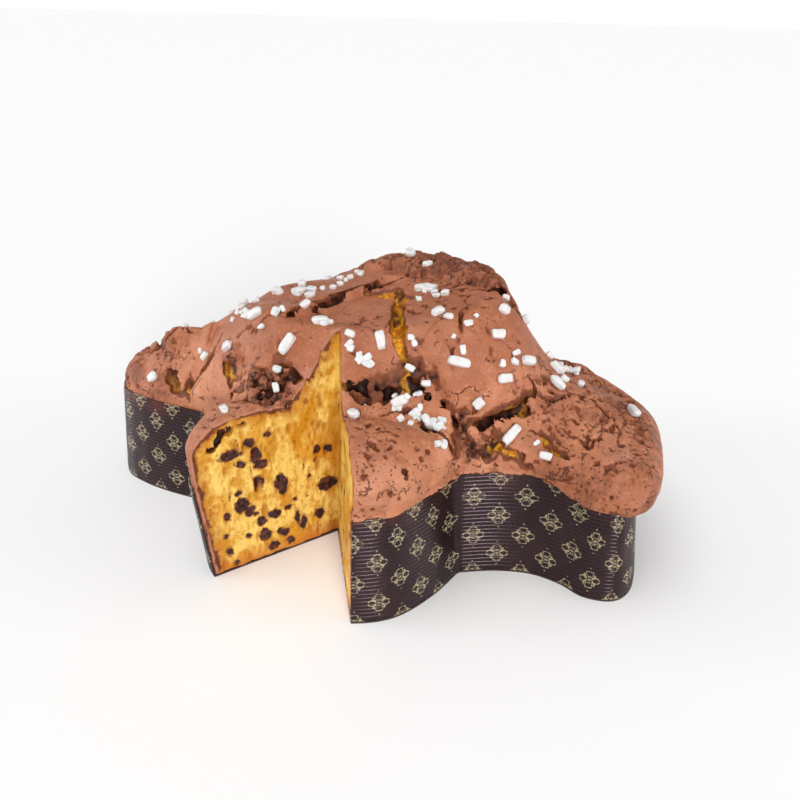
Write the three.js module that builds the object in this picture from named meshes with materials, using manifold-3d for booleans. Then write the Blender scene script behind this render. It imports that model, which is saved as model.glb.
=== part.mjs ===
// Colomba: a dove-shaped Easter cake, baked in a ribbed paper mould, with one slice cut out of a wing.
//
// Frame, in millimetres: the origin is on the table, in the middle of the mould's base. +X runs from
// the dove's head to its tail, +Z is up, and the slice is missing from the wing on the -Y side.
import * as THREE from 'three';
import { mergeVertices } from 'three/addons/utils/BufferGeometryUtils.js';
import Module from 'manifold-3d';

const wasm = await Module();
wasm.setup();

// ---- driving dimensions -------------------------------------------------------------------------

// The mould's foot, seen from above. The head and each wing are alike on both sides of the X axis, and
// the tail is drawn in on its +Y side. Each half runs from the tip of its lobe to its corner.
const headHalf = [[-153, 0], [-146, 16], [-131, 24], [-113, 29], [-89, 33], [-60, 41]];
const wing = [
  [-60, 41], [-68, 62], [-62, 84], [-44, 99], [-21, 106],
  [2, 109], [25, 106], [43, 97], [57, 78], [66, 58],
];
const nearTailHalf = [
  [152, 0], [154, -26], [153, -48], [145, -60], [130, -61], [117, -54], [102, -50], [84, -52], [66, -58],
];
const farTailHalf = [
  [152, 0], [148, 14], [141, 28], [132, 39], [120, 46], [109, 48], [97, 48], [82, 51], [66, 58],
];
const stepsPerSpan = 3;

const paperThickness = 0.8;
const gap = 0.3;
const rimHeight = 57;
const wallFoot = paperThickness + gap;
const wallLean = 6;              // how far the wall leans in between its foot and its rim

// The crust over the head, the wings and the tail.
const lipHeight = [61, 72, 64];  // its widest line
const spill = [-1, 6, 12];       // how far that line stands out past the rim
const evenRise = [31, 20, 19];   // how far the crust rises over that line
const shoulder = [42, 30, 38];   // how far in from that line the crust goes on curving up
const rounding = [0.66, 0.5, 0.5]; // 0.5 is a round shoulder, and 1 is a flatter one
const domeRings = 10;

// The risen body of the dove, and softer swellings around it.
const body = { x: 2, y: 6, reachX: 82, reachY: 50, height: 32, flatTo: 0.82, endsAt: 1.35 };
const swellings = [
  { x: 34, y: 70, reachX: 40, reachY: 40, height: 17 },
  { x: 78, y: -8, reachX: 40, reachY: 36, height: 8 },
  { x: 138, y: 34, reachX: 24, reachY: 26, height: -10 },
  { x: -62, y: 22, reachX: 34, reachY: 40, height: -9 },
  { x: -36, y: 24, reachX: 16, reachY: 22, height: 4 },
  { x: -72, y: 4, reachX: 15, reachY: 24, height: -6 },
  { x: -132, y: 0, reachX: 12, reachY: 24, height: -6 },
  { x: -108, y: 2, reachX: 14, reachY: 20, height: 12 },
  { x: 118, y: 20, reachX: 20, reachY: 24, height: 2 },
  { x: 90, y: 20, reachX: 16, reachY: 16, height: -8 },
  { x: -54, y: 18, reachX: 12, reachY: 20, height: 4 },
  { x: 60, y: 34, reachX: 16, reachY: 24, height: 5 },
  { x: -32, y: 46, reachX: 16, reachY: 20, height: -7 },
];

const slumpAtSlice = 11;         // how far the loaf has slumped outwards beside the slice
const slumpReach = 28;
const sliceApex = [-5, -40];     // where the two knife cuts meet
const sliceHeadSide = [-56, -93];
const sliceTailSide = [23, -107];
const knifeStart = 10;           // how far below the table the knife cuts begin
const knifeTravel = 200;
const knifeTilt = 0.05;          // how far the apex drifts into the cake for each millimetre of height

// Pearl sugar: the large rods as [x, y, length, turn in degrees], then handfuls of smaller grains.
const rodWidth = 5;
const rods = [
  [-26, -41, 12, 50], [21, -40, 10, -70], [58, -36, 12, 10], [87, -46, 12, 60], [99, -49, 12, -20],
  [104, -11, 10, -15], [143, -7, 12, -70], [89, -16, 9, 45], [80, -30, 8, 30], [61, -58, 10, 45],
  [13, -60, 7, -55], [33, -51, 9, 30], [-50, -23, 10, 8], [102, 1, 8, -20], [-65, -27, 8, -10],
  [-12, -31, 9, 15], [74, -19, 8, 25], [44, -17, 7, 45], [-118, -17, 7, 30], [70, -42, 6, 40],
];
const smallGrain = [4, 6.5];
const handfuls = [
  { x: -30, y: 16, reach: 14, count: 6 },
  { x: 32, y: 8, reach: 10, count: 6 },
  { x: 9, y: -45, reach: 9, count: 6 },
  { x: 42, y: -51, reach: 10, count: 7 },
  { x: -40, y: -16, reach: 22, count: 9 },
  { x: 110, y: 8, reach: 14, count: 6 },
  { x: 66, y: 10, reach: 20, count: 5 },
  { x: -80, y: 0, reach: 26, count: 6 },
  { x: 30, y: 66, reach: 34, count: 12 },
  { x: 120, y: 20, reach: 22, count: 4 },
];
const grainFlatness = 0.85;      // a grain's height as a share of its width
const grainBluntness = 0.6;      // 1 is an egg, and less is more like a block
const grainLimit = 57;
const steepest = 0.35;           // the least upward part of a face's normal that a grain can lie on

const paperBrown = { color: 0x3a2a2d, roughness: 0.5, metalness: 0 };
const crustBrown = { color: 0xb0775a, roughness: 0.85, metalness: 0 };
const sugarWhite = { color: 0xf6f3ee, roughness: 0.7, metalness: 0 };

const object = new THREE.Group();

// ---- geometry helpers ---------------------------------------------------------------------------

// Keeps positions only and welds the vertices that coincide.
function weld(geometry) {
  const bare = geometry.index ? geometry.toNonIndexed() : geometry.clone();
  bare.deleteAttribute('normal');
  bare.deleteAttribute('uv');
  return mergeVertices(bare, 1e-4);
}

function toSolid(geometry) {
  const welded = weld(geometry);
  const mesh = new wasm.Mesh({
    numProp: 3,
    vertProperties: new Float32Array(welded.attributes.position.array),
    triVerts: new Uint32Array(welded.index.array),
  });
  return new wasm.Manifold(mesh);
}

function toGeometry(solid) {
  const mesh = solid.getMesh();
  const geometry = new THREE.BufferGeometry();
  geometry.setAttribute('position', new THREE.BufferAttribute(mesh.vertProperties, 3));
  geometry.setIndex(new THREE.BufferAttribute(mesh.triVerts, 1));
  return geometry;
}

function addPiece(name, geometry, finish) {
  geometry.computeVertexNormals();
  const mesh = new THREE.Mesh(geometry, new THREE.MeshStandardMaterial(finish));
  mesh.name = name;
  object.add(mesh);
  return mesh;
}

// A closed skin over rings of equal length, each ring a list of Vector3, capped at both ends.
function skin(rings) {
  const count = rings[0].length;
  const points = [];
  const quad = (a, b, c, d) => points.push(a, b, c, a, c, d);
  for (let r = 0; r + 1 < rings.length; r += 1) {
    for (let i = 0; i < count; i += 1) {
      const j = (i + 1) % count;
      quad(rings[r][i], rings[r][j], rings[r + 1][j], rings[r + 1][i]);
    }
  }
  const cap = (ring) => THREE.ShapeUtils.triangulateShape(ring.map((p) => new THREE.Vector2(p.x, p.y)), []);
  const first = rings[0];
  const last = rings[rings.length - 1];
  for (const [a, b, c] of cap(first)) points.push(first[c], first[b], first[a]);
  for (const [a, b, c] of cap(last)) points.push(last[a], last[b], last[c]);
  return new THREE.BufferGeometry().setFromPoints(points);
}

// ---- the mould's outline ------------------------------------------------------------------------

const toVectors = (pairs) => pairs.map(([x, y]) => new THREE.Vector2(x, y));
const mirrored = (pairs) => pairs.map(([x, y]) => [x, -y]);

// One rounded stretch of the outline, through the given points, without its last point.
function stretch(pairs) {
  const steps = (pairs.length - 1) * stepsPerSpan;
  return new THREE.SplineCurve(toVectors(pairs)).getPoints(steps).slice(0, -1);
}

// The whole foot of the mould, counter-clockwise from the corner between the head and the near wing.
const foot = [
  ...stretch(mirrored(wing)),
  ...stretch([...[...nearTailHalf].reverse(), ...farTailHalf.slice(1)]),
  ...stretch([...wing].reverse()),
  ...stretch([...[...headHalf].reverse(), ...mirrored(headHalf).slice(1)]),
];

// The direction out of the outline at each of its points.
const outward = foot.map((point, i) => {
  const before = foot[(i + foot.length - 1) % foot.length];
  const after = foot[(i + 1) % foot.length];
  const along = after.clone().sub(point).normalize().add(point.clone().sub(before).normalize());
  return new THREE.Vector2(along.y, -along.x).normalize();
});

// The outline moved out by a distance, which may change from point to point, as a ring at a height.
function ringAt(height, moveOut) {
  return foot.map((point, i) => {
    const away = typeof moveOut === 'function' ? moveOut(point) : moveOut;
    const moved = point.clone().addScaledVector(outward[i], away);
    return new THREE.Vector3(moved.x, moved.y, height);
  });
}

// ---- the crust ----------------------------------------------------------------------------------

const { smoothstep } = THREE.MathUtils;

// A value for the head, the wings and the tail, blended along the dove.
const alongDove = (x, head, wings, tail) => wings
  + (head - wings) * (1 - smoothstep(x, -110, -50))
  + (tail - wings) * smoothstep(x, 60, 125);

// How far the loaf has slumped outwards at its rim, beside the slice.
function slumpAt(point) {
  const away = Math.hypot(point.x - sliceHeadSide[0], point.y - sliceHeadSide[1]);
  return slumpAtSlice * Math.exp(-((away / slumpReach) ** 2));
}

const rimOffset = (point) => slumpAt(point) - wallLean;
const lipOffset = (point) => alongDove(point.x, ...spill) + slumpAt(point) / 2 - wallLean;
const lipHeightAt = (point) => alongDove(point.x, ...lipHeight);

const lip = ringAt(0, lipOffset);
for (const point of lip) point.z = lipHeightAt(point);

function distanceToLip(point) {
  let nearest = Infinity;
  for (let i = 0; i < lip.length; i += 1) {
    const start = lip[i];
    const end = lip[(i + 1) % lip.length];
    const alongX = end.x - start.x;
    const alongY = end.y - start.y;
    const done = ((point.x - start.x) * alongX + (point.y - start.y) * alongY) / (alongX ** 2 + alongY ** 2);
    const share = THREE.MathUtils.clamp(done, 0, 1);
    const away = Math.hypot(start.x + share * alongX - point.x, start.y + share * alongY - point.y);
    nearest = Math.min(nearest, away);
  }
  return nearest;
}

// The height of the risen crust over a point of the table.
function crustHeight(point) {
  const inFromLip = Math.min(distanceToLip(point) / alongDove(point.x, ...shoulder), 1);
  const rounded = (1 - (1 - inFromLip) ** 2) ** alongDove(point.x, ...rounding);
  let rise = alongDove(point.x, ...evenRise);
  for (const { x, y, reachX, reachY, height } of swellings) {
    rise += height * Math.exp(-(((point.x - x) / reachX) ** 2) - ((point.y - y) / reachY) ** 2);
  }
  const fromBody = Math.hypot((point.x - body.x) / body.reachX, (point.y - body.y) / body.reachY);
  rise += body.height * (1 - smoothstep(fromBody, body.flatTo, body.endsAt));
  return lipHeightAt(point) + rise * rounded;
}

function domeRing(share) {
  return lip.map((edge) => {
    const point = new THREE.Vector3(edge.x * (1 - share * 0.35), edge.y * (1 - share), 0);
    point.z = crustHeight(point);
    return point;
  });
}

function makeCake() {
  const insidePaper = -(paperThickness + gap);
  const rings = [
    ringAt(wallFoot, insidePaper),
    ringAt(rimHeight, (point) => insidePaper + rimOffset(point)),
    ringAt(rimHeight + 1.5, (point) => THREE.MathUtils.lerp(rimOffset(point), lipOffset(point), 0.6)),
    ringAt(rimHeight + 5, (point) => THREE.MathUtils.lerp(rimOffset(point), lipOffset(point), 0.9)),
    lip,
  ];
  for (let r = 1; r < domeRings; r += 1) rings.push(domeRing(0.985 * (r / (domeRings - 1)) ** 1.5));
  return toSolid(skin(rings));
}

// ---- the slice ----------------------------------------------------------------------------------

function makeSliceCutter() {
  const [apex, headSide, tailSide] = toVectors([sliceApex, sliceHeadSide, sliceTailSide]);
  const farHeadSide = headSide.clone().sub(apex).multiplyScalar(2).add(apex);
  const farTailSide = tailSide.clone().sub(apex).multiplyScalar(2).add(apex);
  const outline = new THREE.Shape([apex, farHeadSide, farTailSide]);
  const cutter = new THREE.ExtrudeGeometry(outline, { depth: knifeTravel, bevelEnabled: false });
  const drift = apex.clone().sub(headSide).normalize().multiplyScalar(knifeTilt);
  const tilt = new THREE.Matrix4().set(1, 0, drift.x, 0, 0, 1, drift.y, 0, 0, 0, 1, -knifeStart, 0, 0, 0, 1);
  return toSolid(cutter.applyMatrix4(tilt));
}

// ---- the paper mould ----------------------------------------------------------------------------

// The leaning wall, solid across, with its face moved in by a distance.
function makeWallBlock(low, high, moveIn) {
  const share = (height) => (height - wallFoot) / (rimHeight - wallFoot);
  const leanAt = (height) => (point) => rimOffset(point) * share(height) - moveIn;
  return toSolid(skin([ringAt(low, leanAt(low)), ringAt(high, leanAt(high))]));
}

// The wall is a band of even thickness that stands on the edge of the base.
function makePaperWall() {
  const inside = makeWallBlock(wallFoot - 1, rimHeight + 1, paperThickness);
  return makeWallBlock(wallFoot, rimHeight, 0).subtract(inside);
}

function makePaperBase() {
  return toSolid(skin([ringAt(0, 0), ringAt(paperThickness, 0)]));
}

// ---- the pearl sugar ----------------------------------------------------------------------------

// A small repeatable source of numbers between 0 and 1.
function makeDice(seed) {
  let state = seed;
  return () => {
    state = (state * 16807) % 2147483647;
    return state / 2147483647;
  };
}

// A blunt grain: a ball of small faces pushed towards the corners of its box.
function makeGrainShape(length, width) {
  const grain = weld(new THREE.IcosahedronGeometry(1, 1));
  const corner = new THREE.Vector3();
  const position = grain.attributes.position;
  for (let i = 0; i < position.count; i += 1) {
    corner.fromBufferAttribute(position, i);
    const blunt = (value) => Math.sign(value) * Math.abs(value) ** grainBluntness;
    position.setXYZ(i, blunt(corner.x) * length / 2, blunt(corner.y) * width / 2,
      blunt(corner.z) * width * grainFlatness / 2);
  }
  return grain;
}

const cakeMesh = addPiece('cake', toGeometry(makeCake().subtract(makeSliceCutter())), crustBrown);
cakeMesh.geometry.computeBoundingSphere();
const plumb = new THREE.Raycaster();
const up = new THREE.Vector3(0, 0, 1);
const overhead = 200;            // a height well above the cake

// The cake's surface under a point, or null where there is no cake.
function surfaceUnder(x, y) {
  plumb.set(new THREE.Vector3(x, y, overhead), up.clone().negate());
  return plumb.intersectObject(cakeMesh)[0] ?? null;
}

// Lays a grain flat on the crust, just clear of it, or returns null where it would hang over an edge.
function layGrain({ x, y, length, width, turn }) {
  const under = surfaceUnder(x, y);
  if (!under || under.face.normal.z < steepest) return null;
  const grain = makeGrainShape(length, width);
  grain.rotateZ(THREE.MathUtils.degToRad(turn));
  grain.applyQuaternion(new THREE.Quaternion().setFromUnitVectors(up, under.face.normal));
  grain.translate(x, y, under.point.z);
  const position = grain.attributes.position;
  let lift = -Infinity;
  for (let i = 0; i < position.count; i += 1) {
    const below = surfaceUnder(position.getX(i), position.getY(i));
    if (!below) return null;
    lift = Math.max(lift, below.point.z - position.getZ(i));
  }
  return grain.translate(0, 0, lift + gap);
}

const laid = [];

function tryGrain(grain) {
  const tooNear = laid.some((other) => Math.hypot(other.x - grain.x, other.y - grain.y)
    < (other.length + grain.length) / 2 + gap);
  if (tooNear || laid.length >= grainLimit) return;
  const geometry = layGrain(grain);
  if (!geometry) return;
  laid.push(grain);
  addPiece(`sugar_grain_${String(laid.length).padStart(2, '0')}`, geometry, sugarWhite);
}

for (const [x, y, length, turn] of rods) tryGrain({ x, y, length, turn, width: rodWidth });

const dice = makeDice(7);
for (const { x, y, reach, count } of handfuls) {
  for (let n = 0; n < count; n += 1) {
    const direction = 2 * Math.PI * dice();
    const away = reach * Math.sqrt(dice());
    const length = THREE.MathUtils.lerp(smallGrain[0], smallGrain[1], dice());
    tryGrain({
      x: x + away * Math.cos(direction),
      y: y + away * Math.sin(direction),
      length,
      width: length * THREE.MathUtils.lerp(0.65, 0.9, dice()),
      turn: 180 * dice(),
    });
  }
}

addPiece('paper_wall', toGeometry(makePaperWall().subtract(makeSliceCutter())), paperBrown);
addPiece('paper_base', toGeometry(makePaperBase().subtract(makeSliceCutter())), paperBrown);

export default object;
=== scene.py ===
"""Colomba cake: the cracked, sugared loaf, its ribbed paper mould and a studio round them.

The loaf is carved out of a grid of numbers: a smooth risen shape, less the cracks, the pits, the missing
slice and the crumb's pores, is turned into one closed mesh. Lengths are in millimetres, apart from the
camera's place, the finished meshes and the places that materials read, which are in metres.
"""

import math

import bmesh
import bpy
import numpy as np
import openvdb
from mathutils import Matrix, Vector
from mathutils.bvhtree import BVHTree


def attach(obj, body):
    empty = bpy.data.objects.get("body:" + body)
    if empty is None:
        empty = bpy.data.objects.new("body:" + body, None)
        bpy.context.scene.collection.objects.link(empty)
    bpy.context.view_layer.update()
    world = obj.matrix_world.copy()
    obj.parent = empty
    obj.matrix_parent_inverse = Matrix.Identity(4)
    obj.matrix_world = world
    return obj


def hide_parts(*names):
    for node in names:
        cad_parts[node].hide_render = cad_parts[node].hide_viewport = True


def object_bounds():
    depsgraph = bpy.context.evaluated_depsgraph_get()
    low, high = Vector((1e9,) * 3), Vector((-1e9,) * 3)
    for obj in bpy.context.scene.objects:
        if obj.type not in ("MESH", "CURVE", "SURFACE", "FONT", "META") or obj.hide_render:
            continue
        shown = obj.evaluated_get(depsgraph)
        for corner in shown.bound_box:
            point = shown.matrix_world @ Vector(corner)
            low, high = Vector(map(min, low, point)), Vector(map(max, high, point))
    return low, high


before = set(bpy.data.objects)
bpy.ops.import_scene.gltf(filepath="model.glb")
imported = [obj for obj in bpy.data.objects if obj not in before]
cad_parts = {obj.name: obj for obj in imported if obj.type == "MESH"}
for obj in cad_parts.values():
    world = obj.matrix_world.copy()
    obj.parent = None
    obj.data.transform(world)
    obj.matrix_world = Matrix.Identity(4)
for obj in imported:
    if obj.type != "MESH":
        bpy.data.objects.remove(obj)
cad_low, cad_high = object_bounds()

MM = 0.001
VOXEL = 0.8

# ---- the camera, fitted to the photo ----

CAMERA_AT = Vector((0.1198, -0.3958, 0.2973))
CAMERA_AIM = Vector((-0.0071, 0.1097, 0.0))
LENS_MM = 38.57
SENSOR_MM = 36


def put_aimed(name, data, at, aim):
    """Puts a camera or a light in the scene, looking from one place towards another."""
    thing = bpy.data.objects.new(name, data)
    thing.location = at
    thing.rotation_mode = "QUATERNION"
    thing.rotation_quaternion = (Vector(aim) - Vector(at)).to_track_quat("-Z", "Y")
    bpy.context.scene.collection.objects.link(thing)
    return thing


camera_data = bpy.data.cameras.new("camera")
camera_data.lens = LENS_MM
camera_data.sensor_width = SENSOR_MM
camera_data.clip_start = 0.01
bpy.context.scene.camera = put_aimed("camera", camera_data, CAMERA_AT, CAMERA_AIM)

# ---- the mould's outline and the risen crust, as in the CAD model ----

# Parts of the outline of the mould's foot, seen from above.
HEAD_HALF = [(-153, 0), (-146, 16), (-131, 24), (-113, 29), (-89, 33), (-60, 41)]
WING = [(-60, 41), (-68, 62), (-62, 84), (-44, 99), (-21, 106),
        (2, 109), (25, 106), (43, 97), (57, 78), (66, 58)]
NEAR_TAIL_HALF = [(152, 0), (154, -26), (153, -48), (145, -60), (130, -61), (117, -54),
                  (102, -50), (84, -52), (66, -58)]
FAR_TAIL_HALF = [(152, 0), (148, 14), (141, 28), (132, 39), (120, 46), (109, 48),
                 (97, 48), (82, 51), (66, 58)]
STEPS_PER_SPAN = 8

PAPER = 0.8
GAP = 0.3
RIM = 57.0
LEAN = 6.0
# Three numbers together are for the head, the wings and the tail.
SHOULDER = (42, 30, 38)
ROUNDING = (0.66, 0.5, 0.5)
LIP_HEIGHT = (61, 72, 64)
SPILL = (-1, 6, 12)
EVEN_RISE = (31, 20, 19)
HEAD_TO_WINGS = (-110, -50)
WINGS_TO_TAIL = (60, 125)
BODY = dict(x=2, y=6, reach_x=82, reach_y=50, height=32, flat_to=0.82, ends_at=1.35)
# Swellings of the crust: the middle's x and y, the reach along x and y, and the height.
SWELLINGS = [
    (34, 70, 40, 40, 17), (78, -8, 40, 36, 8), (138, 34, 24, 26, -10), (-62, 22, 34, 40, -9),
    (-36, 24, 16, 22, 4), (-72, 4, 15, 24, -6), (-132, 0, 12, 24, -6), (-108, 2, 14, 20, 12),
    (118, 20, 20, 24, 2), (90, 20, 16, 16, -8), (-54, 18, 12, 20, 4), (60, 34, 16, 24, 5),
    (-32, 46, 16, 20, -7),
]
SLUMP, SLUMP_REACH = 11.0, 28.0
# How far the crust is kept below the CAD model's, so that its bumps stay inside the CAD model's box.
SETTLE = 1.3

# The missing slice: its point, and the outer ends of its cuts on the head's side and on the tail's side.
APEX = np.array([-5.0, -40.0])
HEAD_END = np.array([-56.0, -93.0])
TAIL_END = np.array([23.0, -107.0])
SLICE_SIDES = ((HEAD_END, 1), (TAIL_END, -1))
KNIFE_TILT = 0.05


def unit(vectors):
    """The same directions, each one unit long."""
    return vectors / np.linalg.norm(vectors, axis=-1, keepdims=True)


INTO_CAKE = unit(APEX - HEAD_END)


def smoothstep(value, low, high):
    t = np.clip((value - low) / (high - low), 0, 1)
    return t * t * (3 - 2 * t)


def along_dove(x, head, wings, tail):
    """A value for the head, the wings and the tail, blended along the dove."""
    in_head = 1 - smoothstep(x, *HEAD_TO_WINGS)
    in_tail = smoothstep(x, *WINGS_TO_TAIL)
    return wings + (head - wings) * in_head + (tail - wings) * in_tail


def stretch(points):
    """A uniform Catmull-Rom curve through the points, without its last point."""
    p = np.array(points, float)
    padded = np.vstack([p[:1], p, p[-1:]])
    t = np.linspace(0, 1, STEPS_PER_SPAN, endpoint=False)[:, None]
    spans = []
    for i in range(len(p) - 1):
        a, b, c, d = padded[i:i + 4]
        start, end = (c - a) / 2, (d - b) / 2
        bend = (2 * b - 2 * c + start + end) * t**3 + (3 * c - 3 * b - 2 * start - end) * t**2
        spans.append(bend + start * t + b)
    return np.vstack(spans)


def mirrored(points):
    return [(x, -y) for x, y in points]


FOOT = np.vstack([
    stretch(mirrored(WING)),
    stretch(NEAR_TAIL_HALF[::-1] + FAR_TAIL_HALF[1:]),
    stretch(WING[::-1]),
    stretch(HEAD_HALF[::-1] + mirrored(HEAD_HALF)[1:]),
])


def outward_of(loop):
    """The direction out of a closed loop at each of its points."""
    ahead = np.roll(loop, -1, 0) - loop
    behind = loop - np.roll(loop, 1, 0)
    along = unit(ahead) + unit(behind)
    return unit(np.stack([along[:, 1], -along[:, 0]], 1))


OUTWARD = outward_of(FOOT)


def slump_at(x, y):
    """How far the mould sags outward beside the cut."""
    away = np.hypot(x - HEAD_END[0], y - HEAD_END[1])
    return SLUMP * np.exp(-((away / SLUMP_REACH) ** 2))


def rim_offset(x, y):
    """How far out from its foot the mould's rim is."""
    return slump_at(x, y) - LEAN


def lip_offset(x, y):
    """How far out from the mould's foot the crust's widest edge is."""
    return along_dove(x, *SPILL) + slump_at(x, y) / 2 - LEAN


LIP = FOOT + OUTWARD * lip_offset(*FOOT.T)[:, None]


def distance_to_path(x, y, path, closed=False):
    """The distance from each point to a path, how far along it, from 0 to 1, the nearest place is, and
    whether the point is on the path's left, 1, or right, -1."""
    ends = np.roll(path, -1, 0) if closed else path[1:]
    starts = path if closed else path[:-1]
    lengths = np.linalg.norm(ends - starts, axis=1)
    done = np.concatenate([[0], np.cumsum(lengths)])
    nearest = np.full(x.shape, 1e9, np.float32)
    along = np.zeros(x.shape, np.float32)
    left = np.zeros(x.shape, np.float32)
    for start, end, length, before in zip(starts, ends, lengths, done):
        run = (end - start) / max(length, 1e-6)
        share = np.clip((x - start[0]) * run[0] + (y - start[1]) * run[1], 0, length)
        away = np.hypot(x - start[0] - share * run[0], y - start[1] - share * run[1])
        closer = away < nearest
        nearest = np.where(closer, away, nearest)
        along = np.where(closer, (before + share) / done[-1], along)
        left = np.where(closer, np.sign(run[0] * (y - start[1]) - run[1] * (x - start[0])), left)
    return nearest, along, left


def inside_loop(x, y, loop):
    """Whether each point is inside a closed loop."""
    inside = np.zeros(x.shape, bool)
    for (ax, ay), (bx, by) in zip(loop, np.roll(loop, -1, 0)):
        if ay != by:
            inside ^= ((ay > y) != (by > y)) & (x < (bx - ax) * (y - ay) / (by - ay) + ax)
    return inside


def depth_in_loop(x, y, loop):
    """How far inside a closed loop each point is, negative outside."""
    return distance_to_path(x, y, loop, closed=True)[0] * np.where(inside_loop(x, y, loop), 1, -1)


def crust_height(x, y, in_from_lip):
    """The height of the smooth crust, from how far in from its edge each point is."""
    past_shoulder = np.clip(in_from_lip / along_dove(x, *SHOULDER), 0, 1)
    rounding = np.clip(1 - (1 - past_shoulder) ** 2, 0, 1) ** along_dove(x, *ROUNDING)
    rise = along_dove(x, *EVEN_RISE)
    for at_x, at_y, reach_x, reach_y, height in SWELLINGS:
        rise = rise + height * np.exp(-(((x - at_x) / reach_x) ** 2) - ((y - at_y) / reach_y) ** 2)
    from_body = np.hypot((x - BODY["x"]) / BODY["reach_x"], (y - BODY["y"]) / BODY["reach_y"])
    rise = rise + BODY["height"] * (1 - smoothstep(from_body, BODY["flat_to"], BODY["ends_at"]))
    return along_dove(x, *LIP_HEIGHT) + rise * rounding


# ---- smooth noise ----

rng = np.random.default_rng(20)


def spline_weights(count, cell):
    """The rows that turn a coarse lattice into a smooth curve of values, one cell every so many steps."""
    weights = np.zeros((count, int(count / cell) + 5), np.float32)
    place = np.arange(count) / cell
    base = place.astype(int)
    t = place - base
    parts = (
        (1 - t) ** 3 / 6,
        (3 * t**3 - 6 * t**2 + 4) / 6,
        (-3 * t**3 + 3 * t**2 + 3 * t + 1) / 6,
        t**3 / 6,
    )
    for shift, part in enumerate(parts):
        weights[np.arange(count), base + shift] += part
    return weights


def noise(shape, cell_mm):
    """Smooth noise over a grid, of two or three sides, with a spread of about 1."""
    cells = np.broadcast_to(cell_mm, len(shape))
    weights = [spline_weights(n, cell / VOXEL) for n, cell in zip(shape, cells)]
    values = rng.uniform(-1, 1, [w.shape[1] for w in weights]).astype(np.float32)
    for axis, w in enumerate(weights):
        values = np.moveaxis(np.tensordot(w, values, (1, axis)), 0, axis)
    return values / values.std()


# ---- the plan of the crust: heights, cracks and pits ----

GRID_LOW = np.array([-158.0, -113.0, -2.0])
GRID_HIGH = np.array([160.0, 113.0, 140.0])
NX, NY, NZ = (int(math.ceil(span / VOXEL)) for span in GRID_HIGH - GRID_LOW)
AXIS_X = (GRID_LOW[0] + VOXEL * np.arange(NX)).astype(np.float32)
AXIS_Y = (GRID_LOW[1] + VOXEL * np.arange(NY)).astype(np.float32)
AXIS_Z = (GRID_LOW[2] + VOXEL * np.arange(NZ)).astype(np.float32)
X, Y = np.meshgrid(AXIS_X, AXIS_Y, indexing="ij")

IN_FOOT = depth_in_loop(X, Y, FOOT)
IN_LIP = depth_in_loop(X, Y, LIP)
SURFACE = np.where(IN_LIP < 0, along_dove(X, *LIP_HEIGHT) + 3 * IN_LIP, crust_height(X, Y, IN_LIP))

# The great cracks of the crust, as seen from above: their paths, half width, depth and how much amber
# crumb shows in them.
CRACKS = [
    ([(-34, -30), (-26, -20), (-12, 0), (-3, 8), (7, 22), (13, 27)], 2.0, 9, 0.1),
    ([(-92, -13), (-75, -20), (-59, -25), (-45, -27), (-33, -30)], 0.8, 2.5, 0.0),
    ([(3, 9), (14, 12), (26, 4)], 6.5, 5, 1.0),
    ([(21, 9), (24, 0), (26, -10), (27, -20)], 4.6, 7, 1.0),
    ([(26, -8), (27, -18), (28, -36), (33, -45)], 2.8, 7, 0.8),
    ([(-2, -43), (8, -49), (22, -49), (35, -45), (50, -45), (66, -49)], 1.6, 6, 0.0),
    ([(66, -49), (72, -43), (86, -36), (95, -29), (95, -25), (91, -22)], 1.8, 7, 0.5),
    ([(28, -53), (37, -55), (49, -57), (56, -62), (63, -66)], 1.8, 5, 0.0),
    ([(95, -28), (101, -25), (105, -17), (110, -11), (117, -11), (124, -17), (131, -25)], 1.0, 3, 0.2),
    ([(107, -41), (114, -43), (122, -45), (127, -41)], 1.0, 2.5, 0.0),
    ([(98, -40), (104, -47), (110, -51)], 1.8, 4, 0.9),
    ([(56, -12), (56, -20), (55, -28), (53, -34)], 0.9, 3, 0.0),
    ([(49, -31), (54, -35), (55, -40)], 0.9, 2.5, 0.0),
    ([(38, 12), (52, 14), (68, 12), (82, 4)], 2.6, 8, 0.0),
    ([(-78, -14), (-87, -17), (-94, -22), (-97, -29), (-96, -36)], 3.2, 6, 0.9),
    ([(80, -48), (92, -50), (104, -55), (114, -60)], 4.0, 0.3, 1.0),
    ([(-110, -16), (-104, -21), (-97, -29)], 4.0, 0.3, 0.45),
    ([(-70, -27), (-63, -33), (-57, -41)], 2.8, 5, 0.55),
    ([(-57, -41), (-52, -47), (-44, -54), (-37, -60)], 1.0, 3, 0.0),
    ([(-38, -54), (-30, -52), (-20, -47)], 1.6, 5, 0.0),
    ([(-14, 45), (8, 52), (30, 46), (50, 54)], 2.2, 7, 0.5),
    ([(-62, 28), (-44, 42), (-32, 62), (-38, 78)], 1.6, 5, 0.0),
    ([(-126, 6), (-114, -7), (-104, 4), (-94, 0)], 1.2, 3, 0.0),
    ([(96, 30), (110, 22), (122, 28), (134, 20)], 1.4, 4, 0.0),
    ([(30, 46), (40, 66), (36, 84)], 1.3, 4, 0.0),
]

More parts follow.
